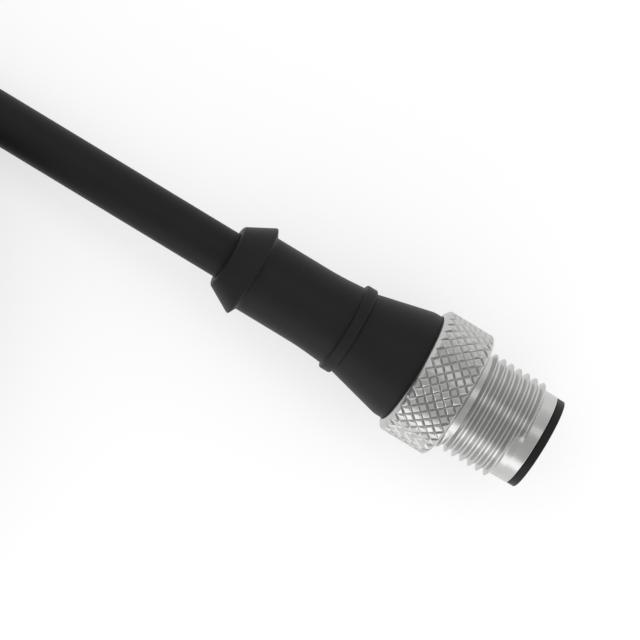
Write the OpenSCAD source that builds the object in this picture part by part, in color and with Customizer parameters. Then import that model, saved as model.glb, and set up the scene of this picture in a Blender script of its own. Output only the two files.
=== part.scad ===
// Straight male M12 cordset connector, A-coded, 4-pole, moulded onto its cable.
//
// The connector lies on its coupling nut with its axis along X and its mating face towards +X.
// Each piece of the connector is drawn along Z, from the rear face of its collar at z = 0 to the
// mating face, and on_axis() lays it down.

/* [Cable] */
// Outside diameter of the cable's jacket
cable_d = 5.4; // [4.8:0.1:5.8]
// Outside diameter of one insulated core
core_d = 1.3; // [1.1:0.05:1.4]
// Diameter of a core's copper strands
strand_d = 0.78; // [0.6:0.02:0.86]
// Length of jacket held inside the connector
jacket_grip = 11.5; // [8:0.5:12]
// Length of the cores laid bare at the open end of the cable
lead_len = 30; // [20:1:32]
// Length of the tinned tip on each of these leads
tip_len = 5; // [3:0.5:8]

/* [Moulded grip] */
// Diameter of the strain-relief collar where the cable comes out
collar_rear_d = 7.2; // [6.8:0.1:8.4]
// Largest diameter of the collar
collar_d = 10.7; // [9.8:0.1:12]
// Length of the collar's cone
collar_len = 3.2; // [2:0.1:5]
// Length of the slope from the collar down to the grip
collar_step = 0.48; // [0.3:0.02:1]
// Diameter of the straight grip
grip_d = 8.84; // [8.6:0.02:9.2]
// Length of the straight grip
grip_len = 7.9; // [5:0.1:12]
// Diameter of the grip where it meets the rib
neck_d = 9.36; // [9.2:0.02:9.8]
// Length over which the grip widens to the rib
neck_len = 3.05; // [2:0.05:5]
// Diameter of the raised rib
rib_d = 10.26; // [10:0.02:11]
// Length of the rib
rib_len = 1.38; // [1:0.02:2]
// Diameter of the flare just in front of the rib
flare_rear_d = 9.6; // [9.4:0.1:10]
// Length of the flare
flare_len = 6.4; // [6:0.1:8]
// Diameter of the land that the nut turns against
land_d = 12.7; // [12.2:0.1:13]
// Length of the land
land_len = 0.92; // [0.6:0.02:2]

/* [Coupling nut] */
// Outside diameter over the knurl
nut_d = 14.75; // [13.6:0.05:16]
// Number of grooves each way round the knurl
knurl_count = 36; // [24:2:44]
// Number of whole diamonds along the knurl
knurl_rows = 4; // [2:1:5]
// Depth of the knurl's grooves
knurl_depth = 0.2; // [0.1:0.02:0.26]
// Share of each diamond that is flat on top
knurl_land = 0.65; // [0.4:0.05:0.75]
// Diameter of the nut's rear face
nut_rear_d = 12.9; // [12:0.1:13.2]
// Length of the rounded edge behind the knurl
nut_rear_edge = 0.56; // [0.5:0.02:0.8]
// Diameter of the face in front of the knurl
nut_front_d = 13.5; // [12.4:0.1:13.6]
// Length of the chamfer in front of the knurl
nut_front_edge = 0.4; // [0.3:0.02:0.8]
// Length of the relief groove between the head and the thread
relief_len = 0.46; // [0.2:0.02:1]
// Outside diameter of the M12 x 1 thread
thread_d = 11.9; // [11.5:0.05:12]
// Length of the thread with its chamfers
thread_len = 6.94; // [5:0.02:10]
// Length of the chamfer at each end of the thread
thread_edge = 0.25; // [0.1:0.05:0.6]
// Diameter of the relief groove and of the plain nose in front of the thread
nose_d = 10.73; // [10.6:0.01:11]
// Length of the nose
nose_len = 1.65; // [1:0.05:3]
// End play of the nut between the land and the insert's rim
nut_play = 0.07; // [0.03:0.01:0.2]

/* [Insert] */
// Diameter of the insert's barrel, on which the nut turns
barrel_d = 9.54; // [9.4:0.02:9.8]
// Clearance all round between the barrel and the nut
turn_gap = 0.08; // [0.03:0.01:0.1]
// Diameter of the rim that keeps the nut on
rim_d = 10.62; // [10.4:0.01:10.7]
// Length of the rim
rim_len = 0.87; // [0.6:0.01:1.5]
// Diameter of the recess that takes the mating socket
recess_d = 8.4; // [8.2:0.05:8.6]
// Depth of the recess
recess_depth = 8.6; // [7:0.1:9.5]
// Width of the coding key in the recess
key_w = 1.0; // [0.8:0.05:1.2]
// Height of the coding key
key_h = 0.55; // [0.4:0.05:0.7]
// Thickness of the floor that holds the contacts
floor_t = 5.5; // [4:0.1:6]
// Length of the skirt behind the nut, which the grip is moulded round
skirt_len = 2.5; // [2:0.1:3]
// Wall of the skirt
skirt_wall = 0.87; // [0.7:0.01:1]
// Diameter of the flange that anchors the skirt in the grip
anchor_d = 10.4; // [10:0.1:10.8]
// Length of the anchoring flange
anchor_len = 1.0; // [0.6:0.1:1.4]

/* [Contacts] */
// Diameter of the contact pins
pin_d = 1.0; // [0.8:0.02:1.04]
// Diameter of the pins' shanks, which are pressed into the floor
shank_d = 1.6; // [1.5:0.05:1.8]
// Diameter of the circle on which the pins stand
pin_ring_d = 5.0; // [4.6:0.05:5.2]
// How far the pin tips stay behind the mating face
tip_depth = 1.1; // [0.5:0.1:2]
// Outside diameter of the crimp barrels
crimp_d = 1.7; // [1.5:0.05:1.8]
// Length of the crimp barrels
crimp_len = 4.2; // [3:0.1:4.6]
// Bore of the crimp barrels
crimp_bore_d = 0.94; // [0.9:0.02:1.1]
// Diameter of the shoulder that stops a pin against the floor
shoulder_d = 2.0; // [1.8:0.1:2.2]
// Thickness of that shoulder
shoulder_t = 0.6; // [0.4:0.1:0.8]

/* [Inner moulding] */
// Wall of the inner moulding round the jacket
sleeve_wall = 0.6; // [0.4:0.05:0.8]
// Length of jacket that the inner moulding covers
sleeve_grip = 2.5; // [2:0.1:4]
// Diameter of the inner moulding where it meets the insert
core_block_d = 8.8; // [8.4:0.1:9]
// Length of that wide part behind the insert
core_block_len = 2.2; // [1.5:0.1:2.5]

/* [Coil] */
// Diameter of the coil at the middle of its turns
coil_d = 60; // [54:0.5:64]
// Thickness of the two ties round the coil
tie_t = 0.8; // [0.6:0.1:1.2]
// Width of the ties
tie_w = 3.6; // [2.4:0.1:5]

/* [Hidden] */
$fn = 64;

// Clearance left between pieces that are moulded or pressed together
fit = 0.02;

// Stations along the connector
z_grip = collar_len + collar_step;
z_neck = z_grip + grip_len;
z_rib = z_neck + neck_len;
z_flare = z_rib + rib_len;
z_land = z_flare + flare_len;
z_stop = z_land + land_len;
z_nut = z_stop + nut_play;
knurl_pitch = PI * nut_d / knurl_count;
knurl_len = knurl_rows * knurl_pitch;
nut_head_len = nut_rear_edge + knurl_len + nut_front_edge;
z_thread = z_nut + nut_head_len + relief_len;
z_nose = z_thread + thread_len;
z_rim = z_nose + nose_len + nut_play;
total_len = z_rim + rim_len;
z_floor = total_len - recess_depth;
z_seat = z_floor - floor_t;
z_skirt = z_stop - skirt_len;
z_anchor = z_skirt + (skirt_len - anchor_len) / 2;
axis_height = nut_d / 2;

// The cores lie in a square inside the cable and spread to the circle of the contacts
core_ring = core_d / sqrt(2) + 0.03;
core_space_d = 2 * core_ring + core_d + 0.1;
pin_ring = pin_ring_d / 2;
bend_r = 2 * core_d;
bend_angle = acos(1 - (pin_ring - core_ring) / (2 * bend_r));
z_core = jacket_grip - 2;
z_bend = jacket_grip + 0.9;
z_spread = z_bend + 2 * bend_r * sin(bend_angle);
z_shoulder = z_seat - shoulder_t;
z_crimp = z_shoulder - crimp_len;
z_strip = z_crimp - 0.3;
strand_grip = crimp_len - 0.8;

// The inner moulding, from its end on the jacket to the seat of the contacts
z_sleeve = jacket_grip - sleeve_grip;
z_block = z_skirt - core_block_len;
sleeve_d = cable_d + 2 * sleeve_wall;
plug_d = barrel_d - 2 * skirt_wall;

// Path of the cable from the connector to the coil, after the point where it leaves the collar
cable_route = [[-26, 0, 7.3], [-32, 0, 6.9], [-38, 0, 6.2], [-44, 0, 5.4], [-50, 0, 4.6],
               [-56, 0, 4], [-62, 0, 3.6], [-67.5, 0, 3.5], [-72.5, 0, 3.5]];

// The coil's turns lie in two columns and three layers
lane = cable_d + 0.1;
coil_inner = coil_d / 2 - lane / 2;
coil_outer = coil_d / 2 + lane / 2;
coil_centre = [cable_route[len(cable_route) - 1][0], -coil_outer, 0];
coil_base = tie_t;
coil_height = cable_d + 2 * lane;
top_layer = coil_base + cable_d / 2 + 2 * lane;
// The inner lane of the top layer is empty from the end of the jacket to where the last turn enters
open_from = 315;
open_to = 438;
tie_places = [170, 300];
lead_spread = core_d / 2 + 0.08;

jacket_black = [0.10, 0.10, 0.11];
grip_black = [0.12, 0.12, 0.13];
insert_black = [0.08, 0.08, 0.08];
nickel = [0.76, 0.75, 0.73];
gold = [0.86, 0.68, 0.32];
copper = [0.80, 0.48, 0.32];
natural = [0.86, 0.84, 0.76];
tie_white = [0.90, 0.90, 0.88];
core_brown = [0.35, 0.18, 0.09];
core_white = [0.92, 0.92, 0.90];
core_blue = [0.10, 0.25, 0.65];
core_black = [0.07, 0.07, 0.07];

// ---- Helpers ----

module on_axis() {
    translate([-total_len / 2, 0, axis_height])
        rotate([0, 90, 0])
            children();
}

// Contact 1 to 4, counted round the axis. The key stands at the top, between contacts 1 and 2.
module at_contact(k) {
    on_axis()
        rotate([0, 0, 45 + 90 * k])
            children();
}

function unit(v) = v / norm(v);

// One corner of an outline, rounded to radius r where r isn't 0
function corner(a, p, b, r) =
    r == 0 ? [p] :
    let(u = unit(a - p),
        v = unit(b - p),
        half = acos(u * v) / 2,
        centre = p + unit(u + v) * r / sin(half),
        from = p + u * r / tan(half) - centre,
        to = p + v * r / tan(half) - centre,
        sweep = 180 - 2 * half,
        steps = 4)
    [for (k = [0:steps])
        centre + (from * sin(sweep * (1 - k / steps)) + to * sin(sweep * k / steps)) / sin(sweep)];

// An outline from corners [radius from axis, station, rounding]
function rounded(corners) =
    let(n = len(corners), p = [for (c = corners) [c[0], c[1]]])
    [for (k = [0:n - 1]) each corner(p[(k + n - 1) % n], p[k], p[(k + 1) % n], corners[k][2])];

module turned(corners) {
    rotate_extrude()
        polygon(rounded(corners));
}

// A rounded rectangle from true arcs, for profiles that are spun
module soft_rectangle(low, high, r) {
    translate([low[0] + r, low[1]])
        square([high[0] - low[0] - 2 * r, high[1] - low[1]]);
    translate([low[0], low[1] + r])
        square([high[0] - low[0], high[1] - low[1] - 2 * r]);
    for (x = [low[0] + r, high[0] - r], y = [low[1] + r, high[1] - r])
        translate([x, y])
            circle(r);
}

// ---- Coupling nut ----

// The knurl is laid out on half steps: i counts them round the nut and j along it. A diamond is
// centred where i + j is even, and two grooves cross where it is odd.
columns = 2 * knurl_count;
last_row = 2 * knurl_rows;
nut_r = nut_d / 2;
root_r = nut_r - knurl_depth;
rear_mid = [0.25 * nut_rear_edge, nut_rear_d / 2 + 0.54 * (nut_r - nut_rear_d / 2)];
rear_slope = (nut_rear_edge - rear_mid[0]) / (nut_r - rear_mid[1]);
front_slope = nut_front_edge / (nut_r - nut_front_d / 2);

function row_z(j) = nut_rear_edge + j * knurl_pitch / 2;
function on_nut(i, z, r) = [r * cos(i * 360 / columns), r * sin(i * 360 / columns), z];

// Where two grooves cross; at the ends of the knurl they run out through the edges
function crossing(i, j) =
    j == 0 ? on_nut(i, row_z(0) - knurl_depth * rear_slope, root_r) :
    j == last_row ? on_nut(i, row_z(j) + knurl_depth * front_slope, root_r) :
    on_nut(i, row_z(j), root_r);

// The corners of a diamond's flat top: towards i + 1, j + 1, i - 1 and j - 1
function top_corner(i, j, side) =
    side == 0 ? on_nut(i + knurl_land, row_z(j), nut_r) :
    side == 1 ? on_nut(i, row_z(min(j + knurl_land, last_row)), nut_r) :
    side == 2 ? on_nut(i - knurl_land, row_z(j), nut_r) :
    on_nut(i, row_z(max(j - knurl_land, 0)), nut_r);

// Every lattice place owns five points: four top corners, or the crossing in the first of them
function place(i, j) = 4 * ((i + columns) % columns + columns * j);
lattice = [for (j = [0:last_row], i = [0:columns - 1], side = [0:3])
    (i + j) % 2 == 0 ? top_corner(i, j, side) : crossing(i, j)];

// The facets of one diamond, or of the half diamonds at the two ends
function diamond(i, j) =
    let(t = place(i, j),
        east = place(i + 1, j),
        west = place(i - 1, j),
        north = place(i, j + 1),
        south = place(i, j - 1))
    [if (j < last_row) each [[t + 2, t + 1, t], [t, t + 1, north], [t, north, east],
                             [t + 1, t + 2, west], [t + 1, west, north]],
     if (j > 0) each [[t + 2, t, t + 3], [t + 3, t, east], [t + 3, east, south],
                      [t + 2, t + 3, south], [t + 2, south, west]]];

// The saw-toothed ends of the lattice, and plain rings with a point under each of theirs
function tooth(k) = [for (i = [0:columns - 1]) each k % 2 == i % 2 ?
    [i - knurl_land, i + knurl_land] : [i]];
function tooth_points(j) = [for (i = [0:columns - 1]) each (i + j) % 2 == 0 ?
    [place(i, j) + 2, place(i, j)] : [place(i, j)]];
ring_len = columns + knurl_count;
function ring(j, z, r) = [for (i = tooth(j)) on_nut(i, z, r)];

function band(low, high) =
    [for (k = [0:ring_len - 1])
        let(next = (k + 1) % ring_len)
        each [[low[k], high[k], high[next]], [low[k], high[next], low[next]]]];
function numbers(start) = [for (k = [0:ring_len - 1]) start + k];

module knurled_head() {
    rear = len(lattice);
    mid = rear + ring_len;
    front = mid + ring_len;
    polyhedron(
        points = [each lattice,
                  each ring(0, 0, nut_rear_d / 2),
                  each ring(0, rear_mid[0], rear_mid[1]),
                  each ring(last_row, nut_head_len, nut_front_d / 2)],
        faces = [each [for (j = [0:last_row], i = [0:columns - 1]) if ((i + j) % 2 == 0) each diamond(i, j)],
                 each band(numbers(rear), numbers(mid)),
                 each band(numbers(mid), tooth_points(0)),
                 each band(tooth_points(last_row), numbers(front)),
                 [for (k = [0:ring_len - 1]) rear + k],
                 [for (k = [ring_len - 1:-1:0]) front + k]],
        convexity = 4);
}

// The thread stands between a relief groove and the nose, both at its root
nut_len = nut_head_len + relief_len + thread_len + nose_len;
module thread_and_nose() {
    low = nut_head_len + relief_len;
    high = low + thread_len;
    turned([[0, nut_head_len / 2, 0],
            [nose_d / 2, nut_head_len / 2, 0],
            [nose_d / 2, low, 0],
            [thread_d / 2, low + thread_edge, 0],
            [thread_d / 2, high - thread_edge, 0],
            [nose_d / 2, high, 0],
            [nose_d / 2, nut_len, 0.12],
            [0, nut_len, 0]]);
}

module coupling_nut() {
    color(nickel)
        on_axis()
            translate([0, 0, z_nut])
                difference() {
                    union() {
                        knurled_head();
                        thread_and_nose();
                    }
                    translate([0, 0, -1])
                        cylinder(h = nut_len + 2, d = barrel_d + 2 * turn_gap);
                }
}

// ---- Insert with its contacts ----

module contact_carrier() {
    edge = 0.2;
    color(insert_black)
        on_axis() {
            difference() {
                turned([[plug_d / 2, z_skirt, 0],
                        [barrel_d / 2, z_skirt, 0],
                        [barrel_d / 2, z_anchor, 0],
                        [anchor_d / 2, z_anchor, 0],
                        [anchor_d / 2, z_anchor + anchor_len, 0],
                        [barrel_d / 2, z_anchor + anchor_len, 0],
                        [barrel_d / 2, z_rim, 0],
                        [rim_d / 2, z_rim, 0],
                        [rim_d / 2, total_len, 1.4 * edge],
                        [recess_d / 2, total_len, edge / 2],
                        [recess_d / 2, z_floor, 0],
                        [0, z_floor, 0],
                        [0, z_seat, 0],
                        [plug_d / 2, z_seat, 0]]);
                for (k = [1:4])
                    rotate([0, 0, 45 + 90 * k])
                        translate([pin_ring, 0, z_seat - 1])
                            cylinder(h = floor_t + 2, d = shank_d + 2 * fit);
            }
            coding_key();
        }
}

// The key runs from the floor of the recess almost to the mating face
module coding_key() {
    key_len = recess_depth - 0.4;
    intersection() {
        translate([-recess_d / 2 - 0.2, -key_w / 2, z_floor - 0.2])
            cube([key_h + 0.2, key_w, key_len + 0.2]);
        translate([0, 0, z_floor - 0.2])
            cylinder(h = key_len + 0.2, d = recess_d + 0.3);
    }
}

module contact_pin(k) {
    tip_z = total_len - tip_depth;
    color(gold)
        at_contact(k)
            translate([pin_ring, 0, 0])
                difference() {
                    turned([[0, z_crimp, 0],
                            [crimp_d / 2, z_crimp, 0.1],
                            [crimp_d / 2, z_shoulder, 0],
                            [shoulder_d / 2, z_shoulder, 0],
                            [shoulder_d / 2, z_seat, 0],
                            [shank_d / 2, z_seat, 0],
                            [shank_d / 2, z_floor, 0],
                            [pin_d / 2, z_floor, 0],
                            [pin_d / 2, tip_z, 0.3],
                            [0, tip_z, 0]]);
                    translate([0, 0, z_crimp - 1])
                        cylinder(h = strand_grip + 1.2, d = crimp_bore_d);
                }
}

// ---- Cores and strands inside the connector ----

// A core from the cable's square bundle to a contact, grown all round for the space it needs
module core_path(grow) {
    d = core_d + 2 * grow;
    translate([core_ring, 0, z_core])
        cylinder(h = z_bend - z_core, d = d);
    translate([core_ring + bend_r, 0, z_bend])
        mirror([1, 0, 0])
            rotate([90, 0, 0])
                rotate_extrude(angle = bend_angle)
                    translate([bend_r, 0])
                        circle(d = d);
    translate([pin_ring - bend_r, 0, z_spread])
        rotate([90, 0, 0])
            rotate([0, 0, -bend_angle]) {
                rotate_extrude(angle = bend_angle)
                    translate([bend_r, 0])
                        circle(d = d);
                // A thin disc where the two bends meet makes them one solid
                translate([bend_r, 0, 0])
                    rotate([90, 0, 0])
                        cylinder(h = 0.04, d = d + 0.01, center = true);
            }
    translate([pin_ring, 0, z_spread])
        cylinder(h = z_strip - z_spread, d = d);
}

module wire(k, colour) {
    color(colour)
        at_contact(k)
            core_path(0);
}

module strands(k) {
    color(copper)
        at_contact(k)
            translate([pin_ring, 0, z_strip])
                cylinder(h = z_crimp - z_strip + strand_grip, d = strand_d);
}

// ---- Mouldings ----

// Outline of the inner moulding, grown all round by the same clearance
function premould_outline(grow) =
    [[cable_d / 2 + fit - grow, z_sleeve - grow, 0],
     [sleeve_d / 2 + grow, z_sleeve - grow, 0],
     [sleeve_d / 2 + grow, z_spread - grow, 0],
     [core_block_d / 2 + grow, z_block - grow, 0],
     [core_block_d / 2 + grow, z_skirt - fit, 0]];

module inner_premould() {
    color(natural)
        on_axis()
            difference() {
                turned([each premould_outline(0),
                        [plug_d / 2 - fit, z_skirt - fit, 0],
                        [plug_d / 2 - fit, z_seat - fit, 0],
                        [0, z_seat - fit, 0],
                        [0, jacket_grip + fit, 0],
                        [cable_d / 2 + fit, jacket_grip + fit, 0]]);
                for (k = [1:4])
                    rotate([0, 0, 45 + 90 * k]) {
                        core_path(fit);
                        translate([pin_ring, 0, z_strip - 0.1])
                            cylinder(h = z_crimp - z_strip + 0.2, d = strand_d + 2 * fit);
                        translate([pin_ring, 0, z_crimp - fit])
                            cylinder(h = crimp_len + 2 * fit, d = crimp_d + 2 * fit);
                        translate([pin_ring, 0, z_shoulder - fit])
                            cylinder(h = shoulder_t + 1, d = shoulder_d + 2 * fit);
                    }
            }
}

module overmould() {
    hole_r = cable_d / 2 + fit;
    color(grip_black)
        on_axis()
            turned([[hole_r, 0, 0],
                    [collar_rear_d / 2, 0, 0.25],
                    [collar_d / 2, collar_len, 0.15],
                    [grip_d / 2, z_grip, 0.2],
                    [grip_d / 2, z_neck, 0],
                    [neck_d / 2, z_rib, 0],
                    [rib_d / 2, z_rib, 0.15],
                    [rib_d / 2, z_flare, 0.15],
                    [flare_rear_d / 2, z_flare, 0],
                    [land_d / 2, z_land, 0],
                    [land_d / 2, z_stop, 0.15],
                    [barrel_d / 2 + fit, z_stop, 0],
                    [barrel_d / 2 + fit, z_anchor + anchor_len + fit, 0],
                    [anchor_d / 2 + fit, z_anchor + anchor_len + fit, 0],
                    [anchor_d / 2 + fit, z_anchor - fit, 0],
                    [barrel_d / 2 + fit, z_anchor - fit, 0],
                    [barrel_d / 2 + fit, z_skirt - fit, 0],
                    [core_block_d / 2 + fit, z_skirt - fit, 0],
                    [core_block_d / 2 + fit, z_block - fit, 0],
                    [sleeve_d / 2 + fit, z_spread - fit, 0],
                    [sleeve_d / 2 + fit, z_sleeve - fit, 0],
                    [hole_r, z_sleeve - fit, 0]]);
}

// ---- Cable, from inside the connector to the coil ----

cable_points = [[-total_len / 2 + jacket_grip, 0, axis_height],
                [-total_len / 2, 0, axis_height],
                each cable_route];
cable_sides = 12;

// Direction of a path at its point k, level at both ends
function heading(path, k) =
    k == 0 || k == len(path) - 1 ? [-1, 0, 0] : unit(path[k + 1] - path[k - 1]);

module swept(path, d, sides) {
    rings = len(path);
    polyhedron(
        points = [for (k = [0:rings - 1])
            let(t = heading(path, k), side = unit(cross(t, [0, 0, 1])), up = cross(side, t))
            for (s = [0:sides - 1])
                path[k] + d / 2 * (side * cos(s * 360 / sides) + up * sin(s * 360 / sides))],
        faces = [[for (s = [sides - 1:-1:0]) s],
                 for (k = [0:rings - 2], s = [0:sides - 1])
                     let(a = k * sides + s, b = k * sides + (s + 1) % sides)
                     each [[a, b, b + sides], [a, b + sides, a + sides]],
                 [for (s = [0:sides - 1]) (rings - 1) * sides + s]]);
}

module cable() {
    color(jacket_black)
        difference() {
            swept(cable_points, cable_d, cable_sides);
            on_axis()
                translate([0, 0, z_core])
                    cylinder(h = jacket_grip, d = core_space_d);
        }
}

// ---- Coil of the stored length, its ties and its open end ----

module coil_profile(grow) {
    soft_rectangle([coil_inner - cable_d / 2 - grow, coil_base - grow],
                   [coil_outer + cable_d / 2 + grow, coil_base + coil_height + grow],
                   cable_d / 2 + grow);
}

module cable_coil() {
    color(jacket_black)
        translate(coil_centre)
            difference() {
                rotate_extrude()
                    coil_profile(0);
                rotate([0, 0, open_from])
                    rotate_extrude(angle = open_to - open_from)
                        translate([coil_inner - cable_d, top_layer - cable_d / 2])
                            square([cable_d + lane / 2, 2 * cable_d]);
            }
}

// Each tie is a strap round the six turns, with its locking head on the outside
module coil_ties() {
    head = [3.2, tie_w + 1.4, 4.4];
    strap_angle = tie_w / coil_d * 360 / PI;
    color(tie_white)
        for (a = tie_places)
            translate(coil_centre)
                rotate([0, 0, a]) {
                    rotate([0, 0, -strap_angle / 2])
                        rotate_extrude(angle = strap_angle)
                            difference() {
                                coil_profile(tie_t);
                                coil_profile(0);
                            }
                    translate([coil_outer + cable_d / 2 + tie_t / 2, -head[1] / 2, coil_height / 2 - 1])
                        cube(head);
                }
}

// The cores leave the jacket side by side, two on two, and follow the curve of the coil
function lead_r(k) = coil_inner + (k < 3 ? -1 : 1) * lead_spread;
function lead_z(k) = top_layer + (k % 2 == 0 ? -1 : 1) * lead_spread;
function turn_of(length, k) = length / lead_r(k) * 180 / PI;

// A round rod of diameter d along lead k, from one length along it to another
module along_lead(k, from, to, d) {
    translate(coil_centre + [0, 0, lead_z(k)])
        rotate([0, 0, open_from + turn_of(from, k)])
            rotate_extrude(angle = turn_of(to - from, k))
                translate([lead_r(k), 0])
                    circle(d = d);
}

module lead(k, colour) {
    color(colour)
        along_lead(k, 0, lead_len - tip_len, core_d);
}

module lead_tip(k) {
    color(nickel)
        along_lead(k, lead_len - tip_len, lead_len, strand_d);
}

coupling_nut();
contact_carrier();
contact_pin(1);  // contact_pin_1
contact_pin(2);  // contact_pin_2
contact_pin(3);  // contact_pin_3
contact_pin(4);  // contact_pin_4
inner_premould();
overmould();
wire(1, core_brown);  // wire_brown
wire(2, core_white);  // wire_white
wire(3, core_blue);  // wire_blue
wire(4, core_black);  // wire_black
strands(1);  // strands_1
strands(2);  // strands_2
strands(3);  // strands_3
strands(4);  // strands_4
cable();
cable_coil();
coil_ties();
lead(1, core_brown);  // lead_brown
lead(2, core_white);  // lead_white
lead(3, core_blue);  // lead_blue
lead(4, core_black);  // lead_black
lead_tip(1);  // lead_tip_brown
lead_tip(2);  // lead_tip_white
lead_tip(3);  // lead_tip_blue
lead_tip(4);  // lead_tip_black
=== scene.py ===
# %% [markdown]
# # A straight M12 sensor connector on its cable
# The part is a male four-pole M12 connector: a moulded grip on a cable, a knurled coupling nut with
# a fine thread, and an insert with four gold pins. The exact solids come in as a fixed frame, and
# this lesson dresses them. Everything is in metres and in the frame's own axes: the connector lies
# along X on its nut, with its mating face towards +X, and the floor is at Z = 0.

# %% Load the frame
import math

import bmesh
import bpy
from mathutils import Matrix, Vector


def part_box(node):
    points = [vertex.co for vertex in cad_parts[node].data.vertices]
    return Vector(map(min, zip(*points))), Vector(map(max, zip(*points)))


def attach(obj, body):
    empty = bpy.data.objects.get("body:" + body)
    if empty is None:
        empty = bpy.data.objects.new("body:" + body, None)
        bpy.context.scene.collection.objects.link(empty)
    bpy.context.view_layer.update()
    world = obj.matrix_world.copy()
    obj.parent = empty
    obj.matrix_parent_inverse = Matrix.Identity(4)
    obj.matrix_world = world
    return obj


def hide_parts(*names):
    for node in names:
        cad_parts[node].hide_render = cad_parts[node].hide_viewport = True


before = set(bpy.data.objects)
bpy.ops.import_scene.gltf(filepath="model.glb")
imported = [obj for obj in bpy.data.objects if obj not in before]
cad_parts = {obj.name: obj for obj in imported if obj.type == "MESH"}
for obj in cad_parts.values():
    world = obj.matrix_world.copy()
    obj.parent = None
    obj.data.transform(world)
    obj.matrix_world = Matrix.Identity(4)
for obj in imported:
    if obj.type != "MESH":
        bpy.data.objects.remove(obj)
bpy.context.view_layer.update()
mm = 0.001

# %% [markdown]
# ## Where things are
# A connector is a stack of turned forms on one axis, so one number places nearly everything: how
# far along the axis it starts. The axis runs through the middle of the nut. `along(s)` gives the
# X of a station s, measured from the rear of the collar towards the mating face.

# %% The connector's axis and stations
nut_low, nut_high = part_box("coupling_nut")
grip_low, grip_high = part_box("overmould")
insert_low, insert_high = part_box("contact_carrier")
axis_z = (nut_low.z + nut_high.z) / 2
rear_x = grip_low.x
face_x = insert_high.x


def along(station):
    return rear_x + station


def station(x):
    """Station in millimetres of a place in the frame."""
    return (x - rear_x) / mm


print(f"axis at {axis_z / mm:.3f} mm, connector {station(face_x):.2f} mm long")

# %% [markdown]
# ## The camera
# The part is seen from almost straight above, tipped a little to its rear, with the axis running
# down to the right. A product shot of something this small is taken from far away with a very long
# lens, which keeps opposite edges parallel. So the camera is built the same way: a 600 mm lens more
# than a metre off, aimed at a point just behind the middle of the connector.

# %% Place the camera
tip, turn = math.radians(6.3), math.radians(31.2)
towards = Vector((-math.sin(tip), 0, math.cos(tip)))
forward = Vector((math.cos(tip), 0, math.sin(tip)))
right = math.cos(turn) * forward + math.sin(turn) * Vector((0, 1, 0))
up = towards.cross(right)
aim = Vector((along(12.18 * mm), -0.76 * mm, axis_z))
view_width, lens, sensor = 68.86 * mm, 600, 36
distance = view_width * lens / sensor

camera = bpy.data.objects.new("camera", bpy.data.cameras.new("camera"))
bpy.context.scene.collection.objects.link(camera)
bpy.context.scene.camera = camera
camera.data.lens, camera.data.sensor_width = lens, sensor
camera.data.clip_start, camera.data.clip_end = 0.01, 100
camera.matrix_world = Matrix.Translation(aim + distance * towards) @ Matrix(
    (right, up, towards)).transposed().to_4x4()
print(f"camera {distance:.3f} m away")

# %% [markdown]
# ## The cable
# The cable is one continuous length: straight out of the collar, down to the floor under its own
# weight, and then wound into a coil for storage, with its turns lying two by two in three layers.
# A curve with a round bevel keeps the same thickness at every bend, which a hand-extruded tube
# would not. The route is worked out as a person winds it: a lane is followed for most of a turn,
# then the cable eases over to the next lane, so that no turn passes through another and no bend is
# tighter than about four diameters.

# %% The cable's route
cable_d, lane = 5.4 * mm, 5.5 * mm
coil_d, tie_t = 60 * mm, 0.8 * mm
open_from = 315
inner, outer = coil_d / 2 - lane / 2, coil_d / 2 + lane / 2
coil_x, coil_y = -72.5 * mm, -outer
layer_z = [tie_t + cable_d / 2 + k * lane for k in range(3)]
sideways, upwards, arrive = 100, 60, 88
jacket_in = 9.4 * mm
descent = [(-26, 7.3), (-32, 6.9), (-38, 6.2), (-44, 5.4), (-50, 4.6), (-56, 4), (-62, 3.6), (-67.5, 3.5)]
lanes = [(outer, 0), (inner, 0), (inner, 1), (outer, 1), (outer, 2), (inner, 2)]


def lane_changes():
    """Start and end angle of each move to the next lane. A lane is left just before the cable that joins it comes round."""
    changes, end, width = [], 360 + arrive, sideways
    for k in range(len(lanes) - 1):
        following = sideways if lanes[k][0] != lanes[k + 1][0] else upwards
        if k:
            end += 360 - width
        width = following
        changes.append((end - width, end))
    return changes


def coil_point(angle, changes):
    radius, height = lanes[0][0], layer_z[0]
    for k, (start, end) in enumerate(changes):
        share = 0.5 - 0.5 * math.cos(math.pi * min(max((angle - start) / (end - start), 0), 1))
        radius += share * (lanes[k + 1][0] - lanes[k][0])
        height += share * (layer_z[lanes[k + 1][1]] - layer_z[lanes[k][1]])
    a = math.radians(angle)
    return Vector((coil_x + radius * math.cos(a), coil_y + radius * math.sin(a), height))


changes = lane_changes()
last_angle = open_from + 360 * math.ceil((changes[-1][1] - open_from) / 360)
step = 6
angles = [90 + step * k for k in range(int((last_angle - 90) / step))] + [last_angle]
route = [Vector((along(jacket_in), 0, axis_z)), Vector((along(jacket_in / 2), 0, axis_z)), Vector((along(0), 0, axis_z))]
route += [Vector((x * mm, 0, z * mm)) for x, z in descent] + [coil_point(a, changes) for a in angles]

# %% The cable itself
curve = bpy.data.curves.new("cable_jacket", "CURVE")
curve.dimensions, curve.resolution_u = "3D", 1
curve.bevel_depth, curve.bevel_resolution, curve.use_fill_caps = 1, 10, True
spline = curve.splines.new("POLY")
spline.points.add(len(route) - 1)
for point, place in zip(spline.points, route):
    point.co, point.radius = (*place, 1), cable_d / 2
spline.use_smooth = True
cable = bpy.data.objects.new("cable_jacket", curve)
bpy.context.scene.collection.objects.link(cable)
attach(cable, "connector")
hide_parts("cable", "cable_coil")
colours = ["brown", "white", "blue", "black"]

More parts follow.
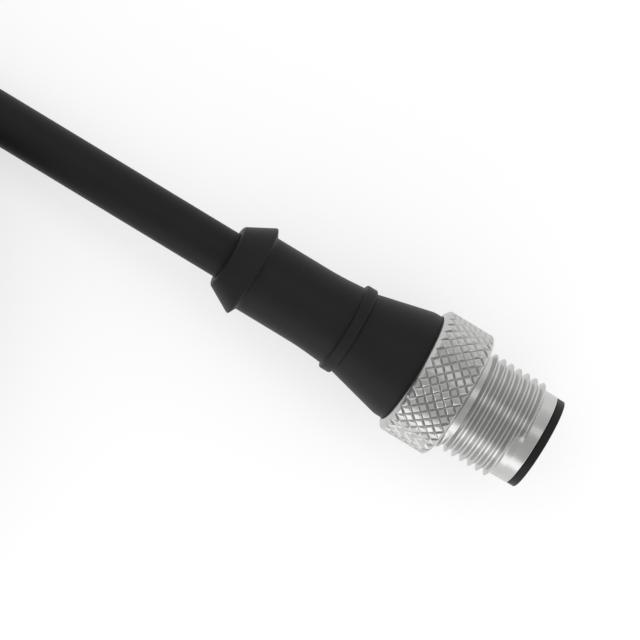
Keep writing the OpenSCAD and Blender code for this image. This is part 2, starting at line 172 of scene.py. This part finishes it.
# %% [markdown]
# ## Turned forms
# The grip, the insert and the pins are all round about an axis, as a lathe or a mould insert makes
# them. Each starts as an outline of corners, given as a station along the axis and a radius. A
# vertex bevel rounds the corners of the outline, and a full spin turns it into a closed surface.
# The work is done in millimetres about the X axis, because the operators' own tolerances suit such
# numbers, and `finished` scales and moves the finished shape into the frame.

# %% Helpers for turned forms
def outline(bm, corners, segments=4):
    """A closed wire through corners (station, radius, cut), each corner cut back by that much and rounded."""
    verts = [bm.verts.new((station, 0, radius)) for station, radius, _ in corners]
    for a, b in zip(verts, verts[1:] + verts[:1]):
        bm.edges.new((a, b))
    for cut in sorted({cut for _, _, cut in corners if cut}):
        chosen = [v for v, corner in zip(verts, corners) if corner[2] == cut]
        bmesh.ops.bevel(bm, geom=chosen, offset=cut, offset_type="OFFSET", segments=segments, profile=0.5,
                        affect="VERTICES", material=-1)


def turned(corners, steps=144, segments=4):
    bm = bmesh.new()
    outline(bm, corners, segments)
    bmesh.ops.spin(bm, geom=bm.verts[:] + bm.edges[:], cent=(0, 0, 0), axis=(1, 0, 0), angle=math.tau,
                   steps=steps, use_merge=True, use_duplicate=False)
    bmesh.ops.remove_doubles(bm, verts=bm.verts[:], dist=1e-5)
    bmesh.ops.delete(bm, geom=[e for e in bm.edges if not e.link_faces], context="EDGES")
    bmesh.ops.recalc_face_normals(bm, faces=bm.faces[:])
    return bm


def join(bm, other):
    """Adds the other bmesh's shape to this one."""
    scratch = bpy.data.meshes.new("scratch")
    other.to_mesh(scratch)
    other.free()
    bm.from_mesh(scratch)
    bpy.data.meshes.remove(scratch)


def finished(name, bm, body, replaces=(), sharp=32, onto_axis=True):
    """Places the shape, shades it smooth between its sharp edges, and makes it a piece that rides on a body."""
    if onto_axis:
        bmesh.ops.transform(bm, verts=bm.verts[:],
                            matrix=Matrix.Translation((rear_x, 0, axis_z)) @ Matrix.Scale(mm, 4))
    bm.normal_update()
    for face in bm.faces:
        face.smooth = True
    for edge in bm.edges:
        edge.smooth = len(edge.link_faces) == 2 and edge.calc_face_angle(0) < math.radians(sharp)
    open_edges = sum(len(edge.link_faces) != 2 for edge in bm.edges)
    mesh = bpy.data.meshes.new(name)
    bm.to_mesh(mesh)
    bm.free()
    piece = bpy.data.objects.new(name, mesh)
    bpy.context.scene.collection.objects.link(piece)
    weighted = piece.modifiers.new("even shading", "WEIGHTED_NORMAL")
    weighted.keep_sharp = True
    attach(piece, body)
    if replaces:
        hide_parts(*replaces)
    print(f"{name}: {len(mesh.polygons)} faces, {open_edges} open edges")
    return piece


# %% [markdown]
# ## The moulded grip
# Soft black plastic is injected round the cable's end and the back of the insert in one shot. From
# the rear it has a collar like an arrowhead, which the thumb pulls against, a straight waist, a
# narrow rib, and a flare that ends in a short land, which reaches a little way into the nut. The corners of such a mould are
# worn to small radii, which is what catches the light, so each has its own. Inside, the outline
# follows the pieces that it is moulded round, so the wall has its real thickness.

# %% Mould the grip
clearance = 0.02
bore_r, anchor_r, barrel_r = 2.72, 5.22, 4.77
z_stop = station(grip_high.x)
land_in = 0.46
grip = turned([
    (0, bore_r, 0.12), (0, 3.6, 0.25), (3.2, 5.35, 0.16), (3.68, 4.42, 0.14), (11.58, 4.42, 1.2), (14.6, 4.68, 0),
    (14.66, 4.78, 0.05), (14.68, 5.13, 0.2), (15.96, 5.13, 0.2), (15.98, 4.9, 0.05), (16.04, 4.8, 0), (22.41, 6.35, 0.3),
    (z_stop + land_in, 6.35, 0.12), (z_stop + land_in, barrel_r + clearance, 0.1), (22.6, barrel_r + clearance, 0), (22.6, anchor_r, 0),
    (21.56, anchor_r, 0), (21.56, barrel_r + clearance, 0), (20.81, barrel_r + clearance, 0), (20.81, 4.42, 0),
    (18.61, 4.42, 0), (16.08, 3.32, 0), (8.98, 3.32, 0), (8.98, bore_r, 0)])
grip_piece = finished("grip", grip, "connector", ["overmould"])

# %% [markdown]
# ## The insert
# The insert is a hard black moulding that holds the contacts. Its barrel is the bearing that the
# nut turns on, its rim keeps the nut from coming off, and the deep recess in front takes the other
# connector. A coding key runs down one side of the recess, so that a plug goes in only one way
# round. The turned shape is spun, and the key is a box with bevelled edges that runs into the wall.
# Each contact stands in a small moulded ring, which keeps moisture from creeping along the pin.

# %% Mould the insert
z_face = station(face_x)
z_floor, z_seat, z_rim = z_face - 8.6, z_face - 14.1, z_face - 0.87
recess_r, rim_r, plug_r = 4.2, 5.31, 3.9
insert = turned([
    (20.83, plug_r, 0), (20.83, barrel_r, 0.1), (21.58, barrel_r, 0), (21.58, 5.2, 0.1), (22.58, 5.2, 0.1),
    (22.58, barrel_r, 0), (z_rim, barrel_r, 0), (z_rim, rim_r, 0.05), (z_face, rim_r, 0.1), (z_face, recess_r, 0.16),
    (z_floor, recess_r, 0.2), (z_floor, 0, 0), (z_seat, 0, 0), (z_seat, plug_r, 0)])

pin_ring = 2.5
pin_angles = [45, 135, 225, 315]


def at_contact(bm, angle):
    """Moves a shape from the connector's axis to the contact at that angle, counted from the right as seen from the front."""
    a = math.radians(angle)
    bmesh.ops.translate(bm, verts=bm.verts[:], vec=(0, pin_ring * math.cos(a), pin_ring * math.sin(a)))
    return bm


for angle in pin_angles:
    join(insert, at_contact(turned([
        (z_floor - 0.1, 0.5, 0), (z_floor + 0.28, 0.5, 0.08), (z_floor + 0.28, 0.86, 0.1), (z_floor - 0.1, 1.0, 0)],
        steps=48), angle))

key = bmesh.new()
bmesh.ops.create_cube(key, size=1)
bmesh.ops.scale(key, vec=(8.3, 1.0, 0.7), verts=key.verts[:])
bmesh.ops.translate(key, vec=(z_floor - 0.1 + 4.15, 0, recess_r - 0.55 + 0.35), verts=key.verts[:])
inner_edges = [e for e in key.edges if all(v.co.z < recess_r - 0.5 for v in e.verts)]
front_edges = [e for e in key.edges if all(v.co.x > z_floor + 5 for v in e.verts) and e not in inner_edges]
bmesh.ops.bevel(key, geom=inner_edges + front_edges, offset=0.14, offset_type="OFFSET", segments=3, profile=0.5,
                affect="EDGES", material=-1)
join(insert, key)
insert_piece = finished("insert", insert, "connector", ["contact_carrier"])

# %% [markdown]
# ## The contact pins
# A contact is turned from brass rod and gilded: a round-nosed pin, a thicker shank that is pressed
# into the insert, a shoulder that stops it, and a hollow crimp barrel behind, which grips a core's
# strands. One outline gives all of it, and each of the four is a piece of its own.

# %% Turn the four pins
z_tip, z_crimp = z_face - 1.1, z_seat - 4.8
pins = []
for number, angle in enumerate(pin_angles, 1):
    pin = at_contact(turned([
        (z_crimp, 0.47, 0.05), (z_crimp, 0.85, 0.1), (z_seat - 0.6, 0.85, 0), (z_seat - 0.6, 1.0, 0.05),
        (z_seat, 1.0, 0.05), (z_seat, 0.8, 0), (z_floor, 0.8, 0), (z_floor, 0.5, 0), (z_tip, 0.5, 0.42), (z_tip, 0, 0),
        (z_crimp + 3.6, 0, 0), (z_crimp + 3.6, 0.47, 0)], steps=40, segments=6), angle)
    pins.append(finished(f"pin_{number}", pin, "connector", [f"contact_pin_{number}"]))

# %% [markdown]
# ## The coupling nut's knurl
# A diamond knurl is pressed into the blank by two rollers, whose ridges cross at the same slant, so
# the grooves run round both ways and leave small diamonds with flat tops. The pattern is a grid of
# squares round the head: poking a square puts its middle in, and dissolving the old edges leaves the
# diamonds. Each diamond is inset to make its flat top, its outline is pushed down to the bottom of
# the grooves, and the edge of the top is bevelled, since rolling never leaves it sharp. Two cuts
# end the pattern, and the turned edges follow from there ring by ring.

# %% Roll the knurl
head_r = (nut_high.z - nut_low.z) / 2 / mm
z_nut, z_nut_end = station(nut_low.x), station(nut_high.x)
nut_bore, knurl_depth, diamonds, rows = 4.85, 0.2, 36, 4
z_knurl, z_knurl_end, z_head = z_nut + 0.56, z_nut + 5.70872, z_nut + 6.10872
diamond_len = (z_knurl_end - z_knurl) / rows


def radius_of(vert):
    return math.hypot(vert.co.y, vert.co.z)


def set_radius(verts, radius):
    for v in verts:
        scale = radius / radius_of(v)
        v.co.y, v.co.z = v.co.y * scale, v.co.z * scale


nut = bmesh.new()
start = math.radians(360 / diamonds / 2)
grid = [nut.verts.new((z_knurl + (k - 1) * diamond_len, head_r * math.sin(start), -head_r * math.cos(start)))
        for k in range(rows + 3)]
wire = [nut.edges.new(pair) for pair in zip(grid, grid[1:])]
bmesh.ops.spin(nut, geom=grid + wire, cent=(0, 0, 0), axis=(1, 0, 0), angle=math.tau, steps=diamonds,
               use_merge=True, use_duplicate=False)
bmesh.ops.remove_doubles(nut, verts=nut.verts[:], dist=1e-4)
old_edges = [e for e in nut.edges if not e.is_boundary]
bmesh.ops.poke(nut, faces=nut.faces[:], offset=0, center_mode="MEAN")
set_radius(nut.verts, head_r)
bmesh.ops.dissolve_edges(nut, edges=old_edges, use_verts=False)
crossings = nut.verts[:]
flats = [f for f in nut.faces if len(f.verts) == 4]
bmesh.ops.delete(nut, geom=[f for f in nut.faces if len(f.verts) != 4], context="FACES")
bmesh.ops.inset_individual(nut, faces=flats, thickness=0.2, depth=0, use_even_offset=True)
crossings = [v for v in crossings if v.is_valid]
tops = [v for v in nut.verts if v not in set(crossings)]
set_radius(tops, head_r)
set_radius(crossings, head_r - knurl_depth)
top_edges = [e for e in nut.edges if all(abs(radius_of(v) - head_r) < 1e-4 for v in e.verts)]
bmesh.ops.bevel(nut, geom=top_edges, offset=0.035, offset_type="OFFSET", segments=2, profile=0.5,
                affect="EDGES", material=-1)
for plane, side in ((z_knurl, -1), (z_knurl_end, 1)):
    bmesh.ops.bisect_plane(nut, geom=nut.verts[:] + nut.edges[:] + nut.faces[:], dist=1e-4,
                           plane_co=(plane, 0, 0), plane_no=(side, 0, 0), clear_outer=True)
bmesh.ops.remove_doubles(nut, verts=nut.verts[:], dist=2e-4)
print(f"knurl: {len(flats)} diamonds, {len(nut.faces)} faces")

# %% [markdown]
# ## The nut's turned edges and thread
# Behind and in front of the knurl the head is turned to rounded edges. A groove that meets such an
# edge runs out on it, which the first ring of points does by moving along the edge to where it has
# their radius. The M12 thread has one turn per millimetre. Its profile is drawn for a few turns as
# a wire, with the flat crests and the rounded roots of a real thread, and spun once round while it
# moves on by one pitch, which joins it to itself. A cut thread begins and ends bluntly, so the
# crest is faded there into the plain root.

# %% Helpers that carry a ring of edges along
def open_ring(bm, near, tolerance=0.3):
    """The boundary edges whose points all lie near that station."""
    return [e for e in bm.edges if e.is_boundary and all(abs(v.co.x - near) < tolerance for v in e.verts)]


def carry(bm, ring, profile):
    """Extrudes a ring of edges along a profile of (station, radius) and returns the last ring."""
    for place, radius in profile:
        made = bmesh.ops.extrude_edge_only(bm, edges=ring)["geom"]
        verts = [v for v in made if isinstance(v, bmesh.types.BMVert)]
        for v in verts:
            v.co.x = place
        set_radius(verts, radius)
        known = set(verts)
        ring = [e for e in made if isinstance(e, bmesh.types.BMEdge) and all(v in known for v in e.verts)]
    return ring


def along_profile(profile, radius):
    """The station at which a falling profile of (station, radius) has a radius."""
    for (s0, r0), (s1, r1) in zip(profile, profile[1:]):
        if r1 <= radius <= r0:
            return s0 + (s1 - s0) * (r0 - radius) / (r0 - r1)
    return profile[0][0]


# %% Turn the edges of the head
rear_edge = [(z_knurl, head_r), (z_nut + 0.43, 7.3), (z_nut + 0.325, 7.19), (z_nut + 0.22, 7.05), (z_nut + 0.14, 6.93),
             (z_nut + 0.06, 6.76), (z_nut + 0.015, 6.6), (z_nut, 6.52)]
front_edge = [(z_knurl_end, head_r), (z_knurl_end + 0.13, head_r - 0.12), (z_knurl_end + 0.22, head_r - 0.24),
              (z_knurl_end + 0.3, head_r - 0.39), (z_knurl_end + 0.36, head_r - 0.5),
              (z_knurl_end + 0.39, head_r - 0.58), (z_head, head_r - 0.66)]
rings = []
for edge_profile, plane in ((rear_edge, z_knurl), (front_edge, z_knurl_end)):
    ring = open_ring(nut, plane, 0.01)
    for v in {v for e in ring for v in e.verts}:
        v.co.x = along_profile(edge_profile, radius_of(v))
    later = [p for p in edge_profile if p[1] < head_r - knurl_depth - 0.02]
    rings.append(carry(nut, ring, later))
rear_ring, front_ring = rings
front_ring = carry(nut, front_ring, [(z_head, 5.9)])

# %% Cut the thread
z_thread, z_thread_end, pitch = z_nut + 6.56872, z_nut + 13.50872, 1.0
crest_r, root_r, nose_r = 5.95, 5.385, 5.365
first_turn, last_turn, turn_steps = -0.62, 6.285, 216
thread_start = z_thread + 0.6

thread = bmesh.new()
corners = []
for k in range(-3, 10):
    middle = thread_start + k * pitch
    corners += [(middle - 0.375, root_r, 0.06), (middle - 0.0625, crest_r, 0.03), (middle + 0.0625, crest_r, 0.03),
                (middle + 0.375, root_r, 0.06)]
wire_verts = [thread.verts.new((s, r, 0)) for s, r, _ in corners]
for a, b in zip(wire_verts, wire_verts[1:]):
    thread.edges.new((a, b))
for cut, segments in ((0.06, 2), (0.03, 2)):
    bmesh.ops.bevel(thread, geom=[v for v, c in zip(wire_verts, corners) if c[2] == cut and len(v.link_edges) == 2],
                    offset=cut, offset_type="OFFSET", segments=segments, profile=0.5, affect="VERTICES", material=-1)
bmesh.ops.spin(thread, geom=thread.verts[:] + thread.edges[:], cent=(0, 0, 0), axis=(1, 0, 0), angle=math.tau,
               dvec=(pitch / turn_steps, 0, 0), steps=turn_steps, use_merge=False, use_duplicate=False)
bmesh.ops.remove_doubles(thread, verts=thread.verts[:], dist=4e-3)


def ease(t):
    t = min(max(t, 0), 1)
    return t * t * (3 - 2 * t)


for v in thread.verts:
    share = (math.atan2(v.co.z, v.co.y) / math.tau) % 1
    turn_number = round((v.co.x - thread_start) / pitch - share) + share
    height = ease((turn_number - first_turn) / 0.07) * ease((last_turn - turn_number) / 0.05)
    radius = root_r + (radius_of(v) - root_r) * height
    set_radius([v], radius)
z_thread_cut = z_thread_end + 0.25
for plane, side in ((z_thread - 0.3, -1), (z_thread_cut, 1)):
    bmesh.ops.bisect_plane(thread, geom=thread.verts[:] + thread.edges[:] + thread.faces[:], dist=1e-5,
                           plane_co=(plane, 0, 0), plane_no=(side, 0, 0), clear_outer=True)
bmesh.ops.remove_doubles(thread, verts=thread.verts[:], dist=1e-4)
print(f"thread: {len(thread.faces)} faces, rings {len(open_ring(thread, z_thread - 0.3, 0.01))} and "
      f"{len(open_ring(thread, z_thread_cut, 0.01))}")

# %% Join the nut up
join(nut, thread)
nut.edges.ensure_lookup_table()
head_ring = open_ring(nut, z_head, 0.001)
thread_ring = open_ring(nut, z_thread - 0.3, 0.001)
nose_ring = open_ring(nut, z_thread_cut, 0.001)
rear_ring = open_ring(nut, z_nut, 0.001)
edge, z_seat_in = 0.12, z_nut + land_in + 0.05
nose_ring = carry(nut, nose_ring, [(z_thread_cut + 0.05, nose_r), (z_nut_end - edge, nose_r),
                                   (z_nut_end - 0.066, nose_r - 0.016), (z_nut_end - 0.016, nose_r - 0.066),
                                   (z_nut_end, nose_r - edge), (z_nut_end, nut_bore + 0.1),
                                   (z_nut_end - 0.03, nut_bore + 0.03), (z_nut_end - 0.1, nut_bore),
                                   (z_seat_in + 0.1, nut_bore), (z_seat_in, nut_bore + 0.1), (z_seat_in, 6.35),
                                   (z_seat_in - 0.03, 6.42), (z_nut + 0.04, 6.43), (z_nut, 6.44)])
bmesh.ops.bridge_loops(nut, edges=head_ring + thread_ring)
bmesh.ops.bridge_loops(nut, edges=rear_ring + nose_ring)
bmesh.ops.recalc_face_normals(nut, faces=nut.faces[:])
nut_piece = finished("nut", nut, "nut", ["coupling_nut"], sharp=38)

# %% [markdown]
# ## Materials
# Shader maths is easier to read as an expression than as a row of nodes. `Socket` wraps an output of
# a node and adds Math nodes as it is used in sums; `Shader` opens a material, and its `node` method
# adds any other node, with its settings first and then the values or links of its sockets.

# %% A small language for shaders
class Socket:
    """One output of a node, which can be used in sums with numbers and other sockets."""

    def __init__(self, shader, output):
        self.shader, self.output = shader, output

    def math(self, operation, *others, clamp=False):
        return self.shader.node("Math", {"operation": operation, "use_clamp": clamp},
                                **{f"_{k}": value for k, value in enumerate((self, *others))})

    def __add__(self, other):
        return self.math("ADD", other)

    def __sub__(self, other):
        return self.math("SUBTRACT", other)

    def __rsub__(self, other):
        return self.shader.number(other).math("SUBTRACT", self)

    def __mul__(self, other):
        return self.math("MULTIPLY", other)

    def __truediv__(self, other):
        return self.math("DIVIDE", other)

    def __rtruediv__(self, other):
        return self.shader.number(other).math("DIVIDE", self)

    __radd__, __rmul__ = __add__, __mul__

    def clamped(self, low=0, high=1):
        return self.math("MAXIMUM", low).math("MINIMUM", high)

    def mapped(self, from_low, from_high, to_low, to_high):
        return self.shader.node("MapRange", {"clamp": True}, Value=self, **{
            "From Min": from_low, "From Max": from_high, "To Min": to_low, "To Max": to_high})


class Shader:
    """A material with its Principled shader, whose sockets are set or linked by name."""

    def __init__(self, name, **constants):
        self.material = bpy.data.materials.new(name)
        self.material.use_nodes = True
        self.nodes, self.links = self.material.node_tree.nodes, self.material.node_tree.links
        self.surface = self.nodes["Principled BSDF"]
        self.surface.distribution = "MULTI_GGX"
        self.set(self.surface, constants)
        self.place = self.node("TexCoord", output="Object")

    def set(self, node, values):
        for name, value in values.items():
            socket = node.inputs[int(name[1:])] if name[0] == "_" and name[1:].isdigit() else node.inputs[name]
            if isinstance(value, Socket):
                self.links.new(value.output, socket)
            else:
                socket.default_value = value

    def node(self, kind, settings=None, output=0, **values):
        node = self.nodes.new("ShaderNode" + kind)
        for name, value in (settings or {}).items():
            setattr(node, name, value)
        self.set(node, values)
        return Socket(self, node.outputs[output])

    def number(self, value):
        return self.node("Math", {"operation": "ADD"}, _0=value, _1=0)

    def noise(self, scale, detail=2, roughness=0.5, at=None):
        return self.node("TexNoise", {}, "Fac", Vector=at or self.place, Scale=scale, Detail=detail,
                         Roughness=roughness)

    def mix(self, factor, first, second):
        """Mixes two colours."""
        node = self.nodes.new("ShaderNodeMix")
        node.data_type = "RGBA"
        for index, value in ((0, factor), (6, first), (7, second)):
            if isinstance(value, Socket):
                self.links.new(value.output, node.inputs[index])
            else:
                node.inputs[index].default_value = value
        return Socket(self, node.outputs[2])

    def split(self, vector):
        node = self.nodes.new("ShaderNodeSeparateXYZ")
        self.links.new(vector.output, node.inputs[0])
        return [Socket(self, out) for out in node.outputs]

    def combine(self, x, y, z):
        return self.node("CombineXYZ", X=x, Y=y, Z=z)

    def bump(self, height, distance, strength=1.0):
        return self.node("Bump", {}, "Normal", Height=height, Distance=distance, Strength=strength)

    def finish(self, **links):
        self.set(self.surface, links)
        return self.material


def grey(value):
    return (value, value, value, 1)


def about_axis(shader):
    """Sockets for the place along the connector's axis and the radius from it, in metres."""
    x, y, z = shader.split(shader.place)
    up = z - axis_z
    return x, (y * y + up * up).math("SQRT")


def wear(*names, material):
    """Gives pieces or carried-over nodes one material."""
    for name in names:
        piece = name if isinstance(name, bpy.types.Object) else bpy.data.objects[name]
        piece.data.materials.clear()
        piece.data.materials.append(material)


# %% [markdown]
# ## Nickel plate
# The nut is turned from brass and nickel-plated. Nickel is a warm grey metal of middling
# brightness, and the plate keeps the fine rings that the lathe left, so its gloss is soft and
# slightly uneven. Rings depend only on the place along the axis and the radius, so a noise that is
# read at (x, radius) turns into rings of its own accord, and a second noise in space stands for the
# handling marks. Both change only the roughness and a very small bump, as on the real plate.

# %% The nickel finish
nickel = Shader("nickel_plate", Metallic=1.0)
x, r = about_axis(nickel)
rings_noise = nickel.noise(1.0, 3, 0.6, at=nickel.combine(x * 14000, r * 14000, 0))
marks = nickel.noise(900, 4, 0.6)
tone = nickel.mix(marks, (0.49, 0.49, 0.482, 1), (0.56, 0.56, 0.55, 1))
nickel.finish(**{"Base Color": tone, "Roughness": (0.2 + rings_noise * 0.06 + marks * 0.05).clamped(),
                 "Normal": nickel.bump(rings_noise, 0.002 * mm, 0.6)})
wear(nut_piece, material=nickel.material)

# %% [markdown]
# ## Black plastics and rubber
# The grip and the jacket are black polyurethane: matt to silky, with a fine grain from the mould's
# spark-eroded surface or from the extruder. The insert is a harder and slightly glossier nylon. All
# are one kind of material with other numbers: a nearly black colour with a faint cloudiness, a
# roughness that varies a little with it, and a grain of a few hundredths of a millimetre.

# %% The black finishes
def black_plastic(name, colour, gloss_off, grain, depth, specular):
    shader = Shader(name, **{"Specular IOR Level": specular})
    cloud = shader.noise(220, 3)
    fine = shader.noise(grain, 2, 0.6)
    base = shader.mix(cloud, grey(colour * 0.85), grey(colour * 1.15))
    return shader.finish(**{"Base Color": base, "Roughness": gloss_off + cloud * 0.08 + fine * 0.06,
                            "Normal": shader.bump(fine, depth * mm, 0.5)})


grip_black = black_plastic("grip_polyurethane", 0.015, 0.4, 9000, 0.012, 0.14)
jacket_black = black_plastic("jacket_polyurethane", 0.014, 0.42, 7000, 0.012, 0.14)
insert_black = black_plastic("insert_nylon", 0.013, 0.36, 12000, 0.006, 0.16)
wear(grip_piece, material=grip_black)
wear(insert_piece, material=insert_black)
curve.materials.append(jacket_black)

# %% [markdown]
# ## Gold, copper, tin and core insulation
# The contacts have a thin gold plate over nickel, which looks smooth and deep yellow. Copper strands
# inside the crimps are a darker orange, and the stripped ends of the leads are tinned to a bright
# grey. The cores' insulation is soft PVC in the four colours that are used for such cables. The
# inner moulding, which no one sees, is left in the natural colour of its resin.

# %% The other finishes
def metal(name, low, high, roughness):
    shader = Shader(name, Metallic=1.0)
    patchy = shader.noise(1500, 3)
    return shader.finish(**{"Base Color": shader.mix(patchy, low, high), "Roughness": roughness + patchy * 0.1,
                            "Normal": shader.bump(patchy, 0.002 * mm, 0.4)})


def plastic(name, colour, roughness, specular=0.4):
    shader = Shader(name, **{"Specular IOR Level": specular})
    cloud = shader.noise(700, 2)
    deeper = tuple(c * 0.86 for c in colour) + (1,)
    return shader.finish(**{"Base Color": shader.mix(cloud, (*colour, 1), deeper), "Roughness": roughness + cloud * 0.1,
                            "Normal": shader.bump(shader.noise(6000), 0.004 * mm, 0.4)})


gold = metal("gold_plate", (0.78, 0.5, 0.16, 1), (0.86, 0.58, 0.22, 1), 0.16)
copper = metal("copper", (0.62, 0.27, 0.13, 1), (0.74, 0.36, 0.2, 1), 0.3)
tin = metal("tinned_copper", (0.5, 0.5, 0.49, 1), (0.66, 0.65, 0.63, 1), 0.28)
wear(*pins, material=gold)
wear(*[f"strands_{k}" for k in range(1, 5)], material=copper)
wear(*[f"lead_tip_{c}" for c in colours], material=tin)
core_colours = {"brown": (0.105, 0.04, 0.018), "white": (0.72, 0.71, 0.68), "blue": (0.02, 0.08, 0.36),
                "black": (0.014, 0.014, 0.014)}
for c in colours:
    wear(f"wire_{c}", f"lead_{c}", material=plastic(f"core_{c}", core_colours[c], 0.38))
wear("inner_premould", material=plastic("natural_resin", (0.62, 0.58, 0.48), 0.4))
wear("coil_ties", material=plastic("tie_nylon", (0.02, 0.02, 0.02), 0.42))

# %% [markdown]
# ## The studio
# A pale table, an even surround and two soft lamps are enough. The surround fills every reflection
# with plain grey, and a long lamp beside the part lies along the nut, so its light runs as one
# straight highlight over knurl and thread. A second, softer one is overhead. Where only the camera
# or a mirror looks at the table and the surround, they are plain white.

# %% Table, surround and lamps
def studio_material(name, diffuse, glow):
    shader = Shader(name, Roughness=1.0, **{"Base Color": grey(diffuse), "Specular IOR Level": 0.0})
    rays = [shader.node("LightPath", output=kind) for kind in ("Is Camera Ray", "Is Glossy Ray", "Is Transmission Ray")]
    seen = (rays[0] + rays[1] + rays[2]).clamped()
    shader.set(shader.surface, {"Emission Color": grey(1.0), "Emission Strength": seen * glow})
    return shader.material


floor_bm = bmesh.new()
bmesh.ops.create_grid(floor_bm, x_segments=1, y_segments=1, size=20)
floor_mesh = bpy.data.meshes.new("table")
floor_bm.to_mesh(floor_mesh)
floor_bm.free()
table = bpy.data.objects.new("table", floor_mesh)
bpy.context.scene.collection.objects.link(table)
floor_mesh.materials.append(studio_material("table_white", 0.5, 0.6))

world = bpy.data.worlds.new("surround")
bpy.context.scene.world = world
world.use_nodes = True
nodes, links = world.node_tree.nodes, world.node_tree.links
background = nodes["Background"]
background.inputs["Color"].default_value = grey(1.0)


def world_node(kind, *values, **settings):
    """Adds a node to the surround, with its inputs in order, and returns its first output."""
    node = nodes.new("ShaderNode" + kind)
    for name, value in settings.items():
        setattr(node, name, value)
    for socket, value in zip(node.inputs, values):
        if isinstance(value, (int, float)):
            socket.default_value = value
        else:
            links.new(value, socket)
    return node.outputs[0]


rays = nodes.new("ShaderNodeLightPath").outputs
direction = nodes.new("ShaderNodeSeparateXYZ")
links.new(nodes.new("ShaderNodeTexCoord").outputs["Generated"], direction.inputs[0])
sideways_share = world_node("Math", world_node("Math", 1.0, direction.outputs["Z"], operation="SUBTRACT", use_clamp=True),
                            2.0, operation="POWER")
mirrored = world_node("MapRange", sideways_share, 0.0, 1.0, 0.56, 1.0)
unseen = world_node("MapRange", rays["Is Glossy Ray"], 0.0, 1.0, 0.75, mirrored)
straight = world_node("Math", rays["Is Camera Ray"], rays["Is Transmission Ray"], operation="MAXIMUM")
links.new(world_node("MapRange", straight, 0.0, 1.0, unseen, 1.0), background.inputs["Strength"])


def lamp(name, place, target, size, radiance):
    """A rectangular lamp, its long side along the part, as bright as that radiance."""
    data = bpy.data.lights.new(name, "AREA")
    data.shape, data.size, data.size_y = "RECTANGLE", size[0], size[1]
    data.energy = radiance * math.pi * size[0] * size[1]
    lamp = bpy.data.objects.new(name, data)
    bpy.context.scene.collection.objects.link(lamp)
    back = (Vector(place) - Vector(target)).normalized()
    side = Vector((1, 0, 0))
    top = back.cross(side).normalized()
    side = top.cross(back)
    lamp.matrix_world = Matrix.Translation(place) @ Matrix((side, top, back)).transposed().to_4x4()
    return lamp


middle = (along(31 * mm), 0, axis_z)
lamp("side_strip", (middle[0], -0.6, 0.16), middle, (2.4, 0.3), 1.0)
lamp("top_soft", (middle[0], 0.32, 0.75), middle, (2.0, 0.3), 0.5)
bpy.context.scene.view_settings.view_transform = "Standard"
